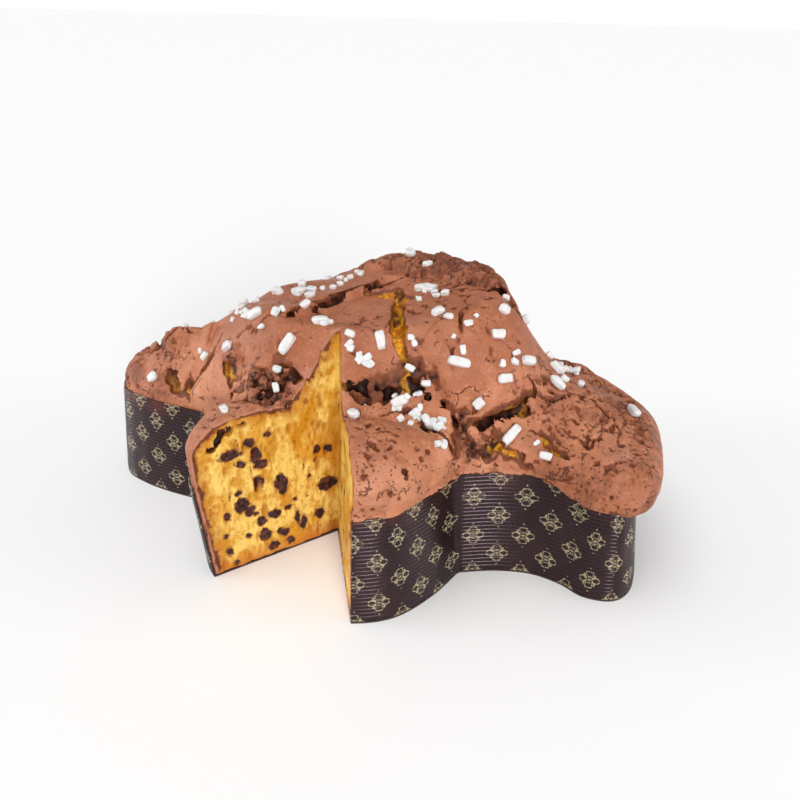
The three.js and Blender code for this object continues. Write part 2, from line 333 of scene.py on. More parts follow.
# Where a plate of crust stands above its neighbour: a path with the high side on its left, how far the
# high side is raised, how far the low side is dropped, and how far away both have faded.
LEDGES = [
    ([(-8, -44), (8, -48), (22, -48), (35, -45), (50, -45), (66, -49), (74, -44)], 2.5, 6.0, 13),
    ([(-46, -30), (-26, -21), (-12, 0), (-3, 8), (7, 22), (14, 27)], 2.6, 1.2, 12),
    ([(72, -46), (77, -41), (86, -36), (95, -29)], 1.0, 2.5, 12),
    ([(-66, -30), (-58, -40), (-48, -47), (-38, -53), (-26, -49), (-16, -48)], 1.0, 5.0, 12),
    ([(-100, -34), (-95, -22), (-87, -12), (-84, 0)], 1.5, 3.5, 10),
    ([(88, 6), (78, 13), (64, 20), (46, 22), (30, 30), (10, 34), (-10, 36)], -2.5, -2.5, 12),
    ([(27, -54), (37, -56), (49, -58), (56, -63), (64, -67)], 1.6, 1.2, 8),
]


def pushed(coordinate, *pushes):
    """X or Y pushed about by noise, which is given as pairs of a strength and a size."""
    for strength, cell in pushes:
        coordinate = coordinate + strength * noise(X.shape, cell)
    return coordinate


def raise_plates():
    """How much the plates of crust stand above or below the smooth surface."""
    bent_x = pushed(X, (1.8, 12), (0.7, 4))
    bent_y = pushed(Y, (1.8, 12), (0.7, 4))
    step = np.zeros(X.shape, np.float32)
    for path, raised, dropped, reach in LEDGES:
        away, along, left = distance_to_path(bent_x, bent_y, np.array(path, float))
        fade = np.exp(-((away / reach) ** 2)) * smoothstep(np.minimum(along, 1 - along), 0.0, 0.12)
        across = smoothstep(left * away, -1.2, 1.2)
        step += fade * (raised * across - dropped * (1 - across))
    return step


def carve_cracks():
    """How deep the cracks are, how near their edges the crust puffs up, and where amber crumb shows."""
    bent_x = pushed(X, (1.8, 12), (0.8, 4), (0.25, 2))
    bent_y = pushed(Y, (1.8, 12), (0.8, 4), (0.25, 2))
    ragged = np.clip(1 + 0.3 * noise(X.shape, 7), 0.4, 1.8)
    carved = np.zeros(X.shape, np.float32)
    puff = np.zeros(X.shape, np.float32)
    amber = np.zeros(X.shape, np.float32)
    for path, half_width, depth, amber_here in CRACKS:
        away, along, _ = distance_to_path(bent_x, bent_y, np.array(path, float))
        taper = 0.45 + 0.55 * np.sin(np.pi * np.clip(along, 0.04, 0.96))
        width = half_width * ragged * taper
        carved = np.maximum(carved, depth * np.clip(2.4 * (1 - away / width), 0, 1))
        puff = np.maximum(puff, min(depth / 7, 1.0) * np.exp(-((away / (width + 3)) ** 2)))
        amber = np.maximum(amber, amber_here * smoothstep(width + 2 - away, 0, 3))
    return carved, puff, amber


def carve_crackle(count, half_width, depth, where):
    """Fine cracks along the borders between scattered cells."""
    seeds_x = rng.uniform(GRID_LOW[0], GRID_HIGH[0], count)
    seeds_y = rng.uniform(GRID_LOW[1], GRID_HIGH[1], count)
    bent_x = pushed(X, (1.5, 6))
    bent_y = pushed(Y, (1.5, 6))
    first = np.full(X.shape, 1e9, np.float32)
    second = first.copy()
    for at_x, at_y in zip(seeds_x, seeds_y):
        away = np.hypot(bent_x - at_x, bent_y - at_y)
        second = np.minimum(second, np.maximum(first, away))
        first = np.minimum(first, away)
    return depth * np.clip(1 - (second - first) / (2 * half_width), 0, 1) * where


def carve_pits(count, roughness):
    """Small slots and holes where bubbles broke through the glaze, steep-sided and turned every way."""
    pits = np.zeros(X.shape, np.float32)
    wobble = 0.3 * noise(X.shape, 2)
    span = int(math.ceil(3.0 / VOXEL))
    for _ in range(count):
        i = rng.integers(span, NX - span)
        j = rng.integers(span, NY - span)
        radius, turn, luck = rng.uniform(0.6, 1.2), rng.uniform(0, math.pi), rng.uniform()
        if luck > roughness[i, j]:
            continue
        patch = (slice(i - span, i + span + 1), slice(j - span, j + span + 1))
        dx, dy = X[patch] - AXIS_X[i], Y[patch] - AXIS_Y[j]
        along = dx * math.cos(turn) + dy * math.sin(turn)
        across = dy * math.cos(turn) - dx * math.sin(turn)
        away = np.hypot(along / rng.uniform(1.0, 2.2), across) + wobble[patch]
        pits[patch] = np.maximum(pits[patch], 2.2 * radius * np.clip(2.0 * (1 - away / radius), 0, 1))
    return pits


# How rough the crust is: the tail, the head and both wings are coarser than the middle.
ON_FAR_WING = smoothstep(Y + 0.5 * np.clip(X, 0, 44), 30, 42)
ROUGH = np.clip(0.06 + 0.46 * smoothstep(X, 78, 112) + 0.5 * smoothstep(-X, 80, 110)
                + 0.85 * ON_FAR_WING + 0.22 * smoothstep(-Y, 54, 64) + 0.08 * noise(X.shape, 20), 0.02, 1)

CRACK_DEPTH, PUFF, AMBER = carve_cracks()
CRACKLE = (carve_crackle(90, 0.6, 1.4, smoothstep(noise(X.shape, 26), 0.5, 1.0))
           + carve_crackle(1300, 0.6, 1.6, smoothstep(noise(X.shape, 14) + 2 * ROUGH, 1.3, 2.3)))
PITS = carve_pits(9000, ROUGH)
# Lumps and grooves seen from above would run down the steep sides as streaks, so they fade out there.
INLAND = smoothstep(IN_LIP, 1, 13)
LUMPS = (0.6 * noise(X.shape, 26) + (0.12 + 0.45 * ROUGH) * noise(X.shape, 8)
         + 0.45 * ROUGH * noise(X.shape, 3)) * (0.4 + 0.6 * INLAND)
CARVED = CRACK_DEPTH * smoothstep(IN_LIP, -3, 2) + (CRACKLE + PITS) * INLAND
UNBROKEN = SURFACE - SETTLE + (LUMPS + PUFF + raise_plates()) * smoothstep(IN_LIP, -2, 8)
TOP = UNBROKEN - CARVED
# How far the crust hangs down outside the paper, on the wings and the tail.
HANG = ((along_dove(X, 0, -4.5, -1.5) + 1.2 * noise(X.shape, 13) + 0.8 * noise(X.shape, 4))
        * smoothstep(along_dove(X, *SPILL), 1, 5))

# ---- the loaf's solid ----

# How far the loaf's side is drawn in above the rim, so that its bumps stay inside the CAD model's box.
DRAWN_IN = 0.9
# How far the hanging crust keeps off the paper, and how far above the rim it ends.
OFF_PAPER = 0.15
HANGING_TO = 6
# How rough the cracks, the torn places, the hollows and the cut are, and how deep the torn places are.
CRACK_GOUGE, TORN_GOUGE, HOLLOW_GOUGE, CUT_GOUGE = 1.4, 3.4, 1.5, 0.5
TORN_DEPTH = 1.5


def side_inset(z, x, y):
    """How far in from the mould's foot the loaf's side is, at a height."""
    lip = along_dove(x, *LIP_HEIGHT)
    in_paper = PAPER + GAP - rim_offset(x, y) * np.clip(z / RIM, 0, 1)
    out = 1 - (1 - np.clip((z - RIM - 0.4) / (lip - RIM), 0, 1)) ** 3
    return in_paper + (-lip_offset(x, y) - in_paper) * out


def outside_slice(x, y, z):
    """How far each point is outside the missing slice, negative within it."""
    apex_x = APEX[0] + INTO_CAKE[0] * KNIFE_TILT * z
    apex_y = APEX[1] + INTO_CAKE[1] * KNIFE_TILT * z
    sides = []
    for end, turn in SLICE_SIDES:
        along = unit(end - APEX)
        sides.append(turn * ((x - apex_x) * along[1] - (y - apex_y) * along[0]))
    return np.maximum(*sides)


# Hollows under the edges of the crust's plates: a path with the plate on its left, how far under the
# plate and above the low side the hollow's middle is, and its radius.
HOLLOWS = [
    ([(3, -46), (10, -48), (22, -48), (35, -45), (42, -45)], 2.0, 2.4, 3.8),
    ([(38, -45), (50, -45), (66, -49)], 2.0, 1.6, 2.8),
    ([(70, -46), (77, -41), (86, -36), (93, -31)], 1.5, -1.5, 2.4),
    ([(-30, -25), (-12, 0), (-3, 8), (7, 22)], 1.5, -1.0, 2.2),
    ([(-40, -51), (-34, -52), (-26, -49), (-19, -47)], 1.5, 1.0, 2.2),
    ([(46, -60), (58, -64)], 1.0, -1.0, 1.8),
    ([(56, 17), (68, 18), (80, 10)], 0.0, -3.0, 3.0),
]
# Hollows that lie open: on the cut, on the tail's near side, on the head and in the middle crack. Each has
# a middle line and a radius.
OPEN_HOLLOWS = [
    ([(-39.5, -74, 84), (-46, -80, 81), (-51, -85.5, 76)], 2.4),
    ([(80, -51.5, 77), (86, -52.5, 72), (96, -55, 67.5), (103, -61, 66.5), (110, -64.5, 65.5),
      (118, -64, 64.5)], 2.4),
    ([(-108, -17, 73), (-104, -21, 68), (-97, -29, 63)], 3.2),
    ([(-63, -33, 89), (-58, -37, 87), (-53, -42, 87)], 3.8),
    ([(10, 26, 118), (13, 30, 116)], 3.4),
]
# The part of the loaf that tore open beside the cut, and the broken edge of the tail's groove: the middle
# and the reach of each place.
TORN = [(-26, -53, 95, 11), (-41, -50, 96, 9), (-34, -58, 93, 7), (-62, -35, 96, 7),
        (69, -57, 75, 8), (63, -50, 86, 6), (80, -52, 76, 6)]


def build_field():
    """Distances, positive inside the loaf; how far below the unbroken crust each place is; and the noise
    that roughens what is carved."""
    shape = (NX, NY, NZ)
    crumb = 0.5 * noise(shape, (4, 4, 9)) + 0.35 * noise(shape, (2.2, 2.2, 4))
    gouge = 0.75 * noise(shape, 4) + 0.55 * noise(shape, 2.2)
    slope_x, slope_y = np.gradient(SURFACE, VOXEL)
    steep = 1 / np.sqrt(1 + np.clip(slope_x**2 + slope_y**2, 0, 4))
    in_crack = smoothstep(CRACK_DEPTH, 1.0, 4.0)
    field = np.empty(shape, np.float32)
    below_crust = np.empty(shape, np.float32)
    for k, z in enumerate(AXIS_Z):
        above_rim = smoothstep(z, RIM - 1, RIM + 4)
        side = IN_FOOT - side_inset(z, X, Y) + above_rim * (0.6 * np.minimum(LUMPS, 0.5) - DRAWN_IN)
        below_crust[:, :, k] = np.minimum(side, (UNBROKEN - z) * steep)

        over_paper = -rim_offset(X, Y) * min(z / RIM, 1) - IN_FOOT - OFF_PAPER
        from_lip = IN_LIP - DRAWN_IN - 0.8 * smoothstep(RIM + 1 - z, 0, 5)
        from_ends = np.minimum(z - (RIM + 0.5 - HANG), RIM + HANGING_TO - z)
        hanging = np.minimum(np.minimum(from_lip, over_paper), from_ends)
        side = np.maximum(side, hanging)

        top = (TOP - z) * steep + in_crack * CRACK_GOUGE * gouge[:, :, k]
        loaf = np.minimum(side, top)
        for at_x, at_y, at_z, reach in TORN:
            near = np.exp(-((X - at_x) ** 2 + (Y - at_y) ** 2 + (z - at_z) ** 2) / reach**2)
            loaf = loaf + near * (TORN_GOUGE * gouge[:, :, k] - TORN_DEPTH)
        cut = outside_slice(X, Y, z) + CUT_GOUGE * crumb[:, :, k]
        field[:, :, k] = np.minimum(np.minimum(loaf, cut), z - PAPER - GAP)
    return field, below_crust, gouge


def carve_ball(field, centre, radii, gouge=None):
    """Takes an egg-shaped hollow out of the field, with rough walls if it is given a noise."""
    centre, radii = np.array(centre), np.array(radii)
    low = np.maximum(((centre - radii * 1.6 - GRID_LOW) / VOXEL).astype(int), 0)
    high = np.minimum(((centre + radii * 1.6 - GRID_LOW) / VOXEL).astype(int) + 2, field.shape)
    if (high <= low).any():
        return
    patch = tuple(slice(a, b) for a, b in zip(low, high))
    gx, gy, gz = np.meshgrid(AXIS_X[patch[0]], AXIS_Y[patch[1]], AXIS_Z[patch[2]], indexing="ij")
    away = np.sqrt(((gx - centre[0]) / radii[0]) ** 2 + ((gy - centre[1]) / radii[1]) ** 2
                   + ((gz - centre[2]) / radii[2]) ** 2)
    wall = (away - 1) * radii.min()
    field[patch] = np.minimum(field[patch], wall if gouge is None else wall + HOLLOW_GOUGE * gouge[patch])


def carve_hollows(field, gouge):
    """The hollows under the plates' edges, and the open ones, each as a row of rough balls."""
    def along_path(path, radius):
        for start, end in zip(path[:-1], path[1:]):
            for t in np.linspace(0, 1, 12, endpoint=False):
                centre = start + (end - start) * t + rng.normal(0, 0.5, 3)
                size = radius * rng.uniform(0.7, 1.15)
                carve_ball(field, centre, (size, size, size), gouge)

    def height_at(x, y):
        return UNBROKEN[int((x - GRID_LOW[0]) / VOXEL), int((y - GRID_LOW[1]) / VOXEL)]

    for path, under, above, radius in HOLLOWS:
        path = np.array(path, float)
        run = unit(np.gradient(path, axis=0))
        left = np.column_stack([-run[:, 1], run[:, 0]])
        low_side = path - 3.5 * left
        heights = [height_at(x, y) + above for x, y in low_side]
        along_path(np.column_stack([path + under * left, heights]), radius)
    for path, radius in OPEN_HOLLOWS:
        along_path(np.array(path, float), radius)


def carve_side_pits(field, count):
    """Bubbles broken open on the steep sides of the crust. One that would stay shut inside is left out."""
    for _ in range(count):
        at = rng.integers(len(LIP))
        height = rng.uniform(RIM + 2, LIP_HEIGHT[1] + 12)
        scatter = rng.uniform(-1.5, 1.5, 2)
        inward = OUTWARD[at] * max(0, height - LIP_HEIGHT[2]) * rng.uniform(0.0, 0.35)
        place = np.array([*(LIP[at] + scatter - inward), height])
        radii = rng.uniform(0.7, 1.3) * rng.uniform(0.8, 1.6, 3)
        if sample(field, place[None])[0] < 0.6 * radii.min():
            carve_ball(field, place, radii)


def carve_pores(field):
    """Open bubbles on the two cut faces, most of them taller than they are wide."""
    for (end, _), count in zip(SLICE_SIDES, (420, 380)):
        for _ in range(count):
            t, height = rng.uniform(0.02, 1.0), rng.uniform(4, 112)
            x, y = APEX + (end - APEX) * t
            size = rng.uniform(0.6, 1.2) + rng.uniform() ** 6
            radii = (size * rng.uniform(0.8, 1.2), size * rng.uniform(0.8, 1.2), size * rng.uniform(1.2, 3.2))
            carve_ball(field, (x, y, height), radii)


# Dark chips on the head side's cut face: distance out from the apex, height, half width, half height.
CHIPS = [
    (56, 69, 5.0, 2.6), (46, 73, 2.8, 2.8), (43, 64, 2.6, 4.6), (41, 59, 3.2, 2.6), (51, 62, 2.4, 2.0),
    (43, 48, 2.6, 4.2), (31, 44, 3.0, 4.6), (30, 39, 2.0, 2.8), (5, 34, 4.8, 3.6), (10, 57, 2.0, 2.4),
    (3, 55, 2.0, 2.2), (36, 75, 2.0, 1.6), (53, 38, 3.4, 3.8), (49, 33, 2.6, 3.0), (61, 34, 1.8, 3.0),
    (36, 26, 3.2, 2.4), (33, 13, 1.6, 2.6), (20, 14, 1.8, 3.8), (23, 19, 1.6, 3.6), (10, 16, 2.6, 2.8),
    (42, 15, 3.0, 3.6), (43, 24, 2.6, 2.4), (62, 12, 1.6, 2.6), (28, 6, 1.8, 2.4), (31, 12, 2.8, 2.0),
    (38, 6, 3.0, 2.4), (28, 27, 1.8, 1.6), (46, 30, 1.6, 1.4), (54, 46, 1.6, 1.8), (59, 3.6, 1.8, 1.6),
    (24, 31, 1.4, 1.4), (15, 42, 1.2, 1.2), (11, 51, 1.3, 1.3), (63, 22, 1.3, 1.8), (51, 18, 1.6, 1.6),
    (73, 28, 0.9, 6.0),
]
# The same for the tail side's cut face.
TAIL_SIDE_CHIPS = [
    (14, 66, 2.4, 3.0), (16, 40, 1.8, 2.4), (34, 52, 3.0, 3.0), (48, 30, 3.0, 2.0), (30, 22, 2.6, 2.6),
    (54, 66, 2.6, 2.4), (44, 78, 2.0, 2.6), (60, 44, 1.6, 2.4), (22, 84, 2.2, 2.0), (10, 18, 2.0, 2.4),
]
CHIP_SCALE = 1.2
CHIP_HALF_THICKNESS = 3.5


def chip_depth(place):
    """How far into the nearest dark chip each point is, in millimetres; negative outside."""
    best = np.full(len(place), -3.0)
    for end, chips in ((HEAD_END, CHIPS), (TAIL_END, TAIL_SIDE_CHIPS)):
        along = unit(end - APEX)
        out = (place[:, :2] - APEX) @ along
        aside = (place[:, :2] - APEX) @ np.array([-along[1], along[0]])
        for out_to, height, half_wide, half_high in chips:
            wide, high = CHIP_SCALE * half_wide, CHIP_SCALE * half_high
            offsets = ((out - out_to) / wide, (place[:, 2] - height) / high, aside / CHIP_HALF_THICKNESS)
            away = np.sqrt(sum(offset**2 for offset in offsets))
            best = np.maximum(best, (1 - away) * min(wide, high))
    return best


def sample(grid, place):
    """Reads a 3-D grid at points, blending between its cells."""
    at = np.clip((place - GRID_LOW) / VOXEL, 0, np.array(grid.shape) - 1.001)
    base = at.astype(int)
    share = at - base
    total = np.zeros(len(place))
    for corner in np.ndindex(2, 2, 2):
        weight = np.prod(np.where(corner, share, 1 - share), axis=1)
        total += weight * grid[tuple((base + corner).T)]
    return total


def sample_plan(plan, place):
    """Reads a plan of the crust at points, whatever their heights."""
    flat = np.column_stack([place[:, :2], np.full(len(place), GRID_LOW[2])])
    return sample(plan[:, :, None].repeat(2, axis=2), flat)


def new_object(name, points_mm, faces, smooth=True):
    """A mesh in the scene, from points in millimetres."""
    mesh = bpy.data.meshes.new(name)
    mesh.from_pydata(points_mm * MM, [], faces)
    mesh.polygons.foreach_set("use_smooth", np.full(len(mesh.polygons), smooth))
    piece = bpy.data.objects.new(name, mesh)
    bpy.context.scene.collection.objects.link(piece)
    return piece


def add_values(piece, name, values):
    """Gives each point of a piece a number that its material reads."""
    layer = piece.data.attributes.new(name, "FLOAT", "POINT")
    layer.data.foreach_set("value", np.asarray(values, np.float32))


# The mesh needs distances only this near to the surface.
FIELD_REACH = 3.0


def make_loaf():
    """One closed mesh, with what its material needs to know at each point."""
    field, below_crust, gouge = build_field()
    carve_hollows(field, gouge)
    carve_side_pits(field, 1500)
    carve_pores(field)
    grid = openvdb.FloatGrid(-FIELD_REACH)
    grid.copyFromArray(np.clip(field, -FIELD_REACH, FIELD_REACH))
    # With nothing thinned out, the faces are all quads. They come facing inward.
    points, _, quads = grid.convertToPolygons(0.0, 0.0)
    points = points * VOXEL + GRID_LOW
    piece = new_object("loaf", points, quads[:, ::-1].tolist())
    add_values(piece, "below_crust", sample(below_crust, points))
    add_values(piece, "from_cut", np.clip(outside_slice(*points.T), -2, 20))
    add_values(piece, "chip", chip_depth(points))
    add_values(piece, "amber", sample_plan(AMBER, points))
    add_values(piece, "rough", sample_plan(ROUGH, points))
    torn = sum(np.exp(-((points - spot[:3]) ** 2).sum(1) / spot[3] ** 2) for spot in np.array(TORN, float))
    add_values(piece, "torn", torn)
    return piece


# ---- materials ----

# Where a Mix node that mixes colours has its two colours and its result.
MIX_A, MIX_B, MIX_RESULT = 6, 7, 2


class Shader:
    """A material's nodes, with a short call for each kind."""

    def __init__(self, name):
        self.material = bpy.data.materials.new(name)
        self.material.use_nodes = True
        self.tree = self.material.node_tree
        self.tree.nodes.clear()
        self.surface = self.tree.nodes.new("ShaderNodeBsdfPrincipled")
        out = self.tree.nodes.new("ShaderNodeOutputMaterial")
        self.tree.links.new(self.surface.outputs[0], out.inputs["Surface"])
        self.place = self.node("TexCoord", "Object", {})

    def put(self, value, socket):
        """Links or fills a socket. A colour is given as three numbers from 0 to 255."""
        if isinstance(value, bpy.types.NodeSocket):
            self.tree.links.new(value, socket)
        elif isinstance(value, tuple) and len(value) == 3 and socket.type == "RGBA":
            socket.default_value = (*(((v / 255 + 0.055) / 1.055) ** 2.4 for v in value), 1)
        else:
            socket.default_value = value

    def node(self, kind, output, inputs, **settings):
        """Adds a node and gives one of its outputs."""
        node = self.tree.nodes.new("ShaderNode" + kind)
        for name, value in settings.items():
            setattr(node, name, value)
        for name, value in inputs.items():
            self.put(value, node.inputs[name])
        return node.outputs[output]

    def math(self, operation, a, b=0.0):
        return self.node("Math", 0, {0: a, 1: b}, operation=operation)

    def vector(self, operation, a, b):
        return self.node("VectorMath", 0, {0: a, 1: b}, operation=operation)

    def add(self, a, b):
        return self.math("ADD", a, b)

    def minus(self, a, b):
        return self.math("SUBTRACT", a, b)

    def times(self, a, b):
        return self.math("MULTIPLY", a, b)

    def larger(self, a, b):
        return self.math("MAXIMUM", a, b)

    def ramp(self, value, low, high, low_to=0.0, high_to=1.0):
        """A number that goes smoothly between two others as the given one goes from low to high."""
        inputs = {"Value": value, "From Min": low, "From Max": high, "To Min": low_to, "To Max": high_to}
        return self.node("MapRange", "Result", inputs, interpolation_type="SMOOTHSTEP")

    def mix(self, share, a, b):
        return self.node("Mix", MIX_RESULT, {"Factor": share, MIX_A: a, MIX_B: b}, data_type="RGBA")

    def varied(self, low, high, size_mm, detail=3.0):
        """A number that wanders between two others from place to place."""
        return self.ramp(self.noise(size_mm, detail), 0.3, 0.7, low, high)

    def mottled(self, a, b, size_mm, detail=4.0, low=0.35, high=0.65):
        """A colour that wanders between two others from place to place."""
        return self.mix(self.ramp(self.noise(size_mm, detail), low, high), a, b)

    def stretched(self, x, y, z, turned=(0, 0, 0)):
        """The place in the object, turned about its axes and then scaled along them."""
        place = self.node("Mapping", 0, {"Vector": self.place, "Rotation": turned})
        return self.node("Mapping", 0, {"Vector": place, "Scale": (x, y, z)})

    def noise(self, size_mm, detail=3.0, rough=0.55, where=None):
        place = where or self.place
        inputs = {"Vector": place, "Scale": 1000 / size_mm, "Detail": detail, "Roughness": rough}
        return self.node("TexNoise", "Fac", inputs)

    def cell_borders(self, size_mm, where):
        """How far each place is from the borders between scattered cells."""
        inputs = {"Vector": where, "Scale": 1000 / size_mm}
        return self.node("TexVoronoi", "Distance", inputs, feature="DISTANCE_TO_EDGE")

    def bent(self, amount_mm, size_mm):
        """The place in the object, pushed about by noise."""
        noise = self.node("TexNoise", "Color", {"Vector": self.place, "Scale": 1000 / size_mm})
        centred = self.vector("SUBTRACT", noise, (0.5, 0.5, 0.5))
        push = self.vector("MULTIPLY", centred, (2 * amount_mm * MM,) * 3)
        return self.vector("ADD", self.place, push)

    def value_of(self, name):
        """A number that was given to each point of the mesh."""
        return self.node("Attribute", "Fac", {}, attribute_name=name)

    def along(self, axis):
        return self.node("SeparateXYZ", axis, {0: self.place})

    def bump(self, height, distance_mm, strength):
        return self.node("Bump", 0, {"Strength": strength, "Distance": distance_mm * MM, "Height": height})

    def finish(self, colour, roughness, normal=None, **settings):
        """Connects what was made, sets the shader's other sockets, and gives the material."""
        self.put(colour, self.surface.inputs["Base Color"])
        self.put(roughness, self.surface.inputs["Roughness"])
        if normal is not None:
            self.put(normal, self.surface.inputs["Normal"])
        for name, value in settings.items():
            self.put(value, self.surface.inputs[name.replace("_", " ")])
        return self.material


def glaze_colour(s, along, height):
    """Mottled brown, dusted paler in patches, darker on the head and the tail as painted shade, with dark
    pores and hair cracks that are partly painted shade, and where those are.
    """
    rough = s.math("MINIMUM", s.value_of("rough"), s.ramp(along, 0.055, 0.095, 1.0, 0.55))
    glaze = s.mottled((168, 100, 66), (190, 122, 90), 26, 3, 0.36, 0.64)
    glaze = s.mix(s.ramp(s.noise(9, 5), 0.4, 0.66, 0, 0.6), glaze, (150, 86, 56))
    glaze = s.mix(s.ramp(s.noise(40, 4), 0.52, 0.68, 0, 0.4), glaze, (204, 150, 126))
    glaze = s.mix(s.ramp(s.noise(1.4, 2), 0.52, 0.75, 0, 0.5), glaze, (212, 158, 130))
    smooth_wing = s.times(s.ramp(rough, 0.5, 0.34), s.ramp(height, 0.096, 0.080, 0, 0.4))
    glaze = s.mix(smooth_wing, glaze, (212, 144, 106))

    # Coarse crust is darker. The head and the tail also get painted shade: they are darkened as if their
    # crust were coarser.
    coarse_and_painted_shade = s.add(rough, s.varied(-0.3, 0.3, 14))
    coarse_and_painted_shade = s.add(coarse_and_painted_shade, s.ramp(along, -0.085, -0.110, 0, 0.22))
    coarse_and_painted_shade = s.add(coarse_and_painted_shade, s.ramp(along, 0.070, 0.110, 0, 0.15))
    glaze = s.mix(s.times(coarse_and_painted_shade, 0.8), glaze, s.mottled((122, 66, 40), (164, 100, 70), 6))
    glaze = s.mix(s.ramp(height, 0.088, 0.112, 0, 0.4), glaze, (146, 84, 56))
    glaze = s.mix(s.ramp(coarse_and_painted_shade, 0.6, 1.2, 0, 0.6), glaze, s.mottled((84, 42, 24), (132, 76, 50), 5))

    # Pores are where a fine noise passes a level, which is lower where the crust is rough.
    level = s.ramp(s.add(rough, s.varied(-0.25, 0.25, 22, 2)), 0.0, 0.9, 0.735, 0.62)
    holes = s.minus(s.noise(3.4, 2.5, 0.6, s.stretched(1, 1, 0.7)), level)
    pinholes = s.minus(s.noise(1.5, 1, where=s.stretched(1, 1, 0.8)), level)
    pore = s.larger(s.ramp(holes, 0.0, 0.02), s.ramp(pinholes, 0.0, 0.03))
    wander = s.bent(2.6, 3.5)
    hair = s.ramp(s.cell_borders(13, wander), 0.03, 0.012)
    hair = s.times(hair, s.ramp(s.noise(17, 3), 0.60, 0.64))
    fine_hair = s.ramp(s.cell_borders(4.5, wander), 0.07, 0.03)
    fine_hair = s.times(fine_hair, s.ramp(s.add(s.noise(8, 3), s.times(rough, 0.12)), 0.64, 0.69))
    pore = s.larger(pore, s.larger(hair, fine_hair))
    # Pores and hair cracks are painted dark brown: partly the glaze's own darker crust, partly painted shade
    # in holes and cracks that are only in the bump.
    return s.mix(s.times(pore, 0.85), glaze, (82, 40, 24)), pore


def torn_colour(s, depth):
    """Toasted at a crack's edge, with painted shade that darkens it with depth to near black at its bottom,
    and amber where the crumb shows, in patches of painted shade.
    """
    # Deeper in a crack the colour darkens: painted shade.
    torn = s.mix(s.ramp(depth, 1.2, 3.5), (120, 64, 38), (62, 28, 16))
    torn = s.mix(s.times(s.ramp(s.noise(3, 4), 0.42, 0.6), 0.6), torn, (132, 72, 44))
    # Near black at a deep crack's bottom: painted shade.
    torn = s.mix(s.ramp(depth, 5.0, 11.0), torn, (50, 24, 15))
    amber = s.mottled((176, 100, 14), (240, 176, 40), 4)
    # Darker patches in the amber crumb: painted shade.
    amber = s.mix(s.ramp(s.noise(8, 3), 0.5, 0.64), amber, (92, 46, 16))
    return s.mix(s.times(s.ramp(s.value_of("amber"), 0.3, 0.7), s.ramp(depth, 2.2, 3.6)), torn, amber)


def crumb_colour(s, below, from_cut, height):
    """Yellow crumb with painted shade in its bubbles, which darkens to near black at their bottoms, baked at
    its edges, with dark chips, and its fibres' noise.
    """
    leaning = s.stretched(1, 1, 0.5, (0.42, 0.44, 0))
    fibres = s.noise(9, 6, 0.62, leaning)
    crumb = s.mix(s.ramp(fibres, 0.38, 0.56), (200, 140, 33), (236, 198, 102))
    crumb = s.mix(s.ramp(s.noise(22, 3, where=leaning), 0.5, 0.62, 0, 0.75), crumb, (206, 140, 22))
    crumb = s.mix(s.ramp(s.noise(2.8, 3, 0.6, leaning), 0.54, 0.68, 0, 0.65), crumb, (190, 118, 16))
    # Painted shade in the bubbles: amber a little way in, near black deeper in.
    crumb = s.mix(s.ramp(from_cut, 0.5, 1.8, 0, 0.8), crumb, (176, 104, 14))
    crumb = s.mix(s.ramp(from_cut, 1.8, 3.4), crumb, (66, 30, 16))
    speck = s.ramp(s.noise(4.2, 2.5, 0.6, s.stretched(1.3, 1.3, 0.8)), 0.675, 0.70)
    crumb = s.mix(s.times(speck, 0.8), crumb, (92, 46, 26))

    base_band = s.ramp(s.add(height, s.times(s.noise(9, 3), 0.006)), 0.0150, 0.0045)
    crumb = s.mix(s.times(base_band, 0.85), crumb, (190, 108, 24))
    wavering = s.add(below, s.varied(-1.6, 1.6, 7))
    crumb = s.mix(s.ramp(wavering, 9.0, 3.0, 0, 0.8), crumb, (180, 108, 30))
    crumb = s.mix(s.ramp(wavering, 4.2, 2.2), crumb, (104, 52, 26))
    crumb = s.mix(s.ramp(below, 2.0, 1.4), crumb, (176, 116, 92))

    into_chip = s.add(s.value_of("chip"), s.varied(-0.55, 0.55, 3.2))
    crumb = s.mix(s.ramp(into_chip, -0.6, 0.1, 0, 0.75), crumb, (150, 84, 30))
    chip = s.mottled((48, 22, 20), (98, 52, 42), 2.5, 3, 0.45, 0.65)
    return s.mix(s.ramp(into_chip, 0.1, 0.5), crumb, chip), fibres


def crust_material():
    """Glaze outside, torn crust in the cracks and crumb on the cut faces."""
    s = Shader("crust")
    below = s.value_of("below_crust")
    from_cut = s.value_of("from_cut")
    height = s.along("Z")
    glaze, pore = glaze_colour(s, s.along("X"), height)
    crumb, fibres = crumb_colour(s, below, from_cut, height)

    depth = s.add(below, s.varied(-0.5, 0.5, 3.5))
    crust = s.mix(s.ramp(depth, 0.6, 1.2), glaze, torn_colour(s, depth))
    broken = s.add(s.value_of("torn"), s.varied(-0.25, 0.25, 6))
    crumbly = s.mottled((58, 26, 16), (150, 88, 60), 3.4, 4, 0.4, 0.62)
    crust = s.mix(s.ramp(broken, 0.55, 0.75), crust, crumbly)
    cut_here = s.times(s.ramp(from_cut, 5.0, 2.5), s.ramp(below, 0.2, 0.6))
    colour = s.mix(cut_here, crust, crumb)

    grain = s.add(s.times(s.noise(0.9, 3), 0.5), s.noise(3.2, 4))
    spongy = s.add(s.noise(1.3, 4), s.times(fibres, 1.4))
    relief = s.mix(cut_here, s.minus(grain, s.times(pore, 1.3)), spongy)
    return s.finish(colour, s.varied(0.42, 0.62, 5), s.bump(relief, 0.55, 0.8), Specular_IOR_Level=0.28)


# The print on the paper: how far apart its motifs are, round the mould and up it, and the sizes in one.
MOTIF_PITCH, MOTIF_RISE = 12.3, 22.2
PETAL_AT, PETAL_RADIUS, PETAL_TIP, MOTIF_RADIUS = 3.3, 1.75, 5.3, 6.2
LEAF_AT, DOT_AT = 2.7, 6.7
SCALLOPS, SCALLOP_DEPTH = 12.0, 0.28


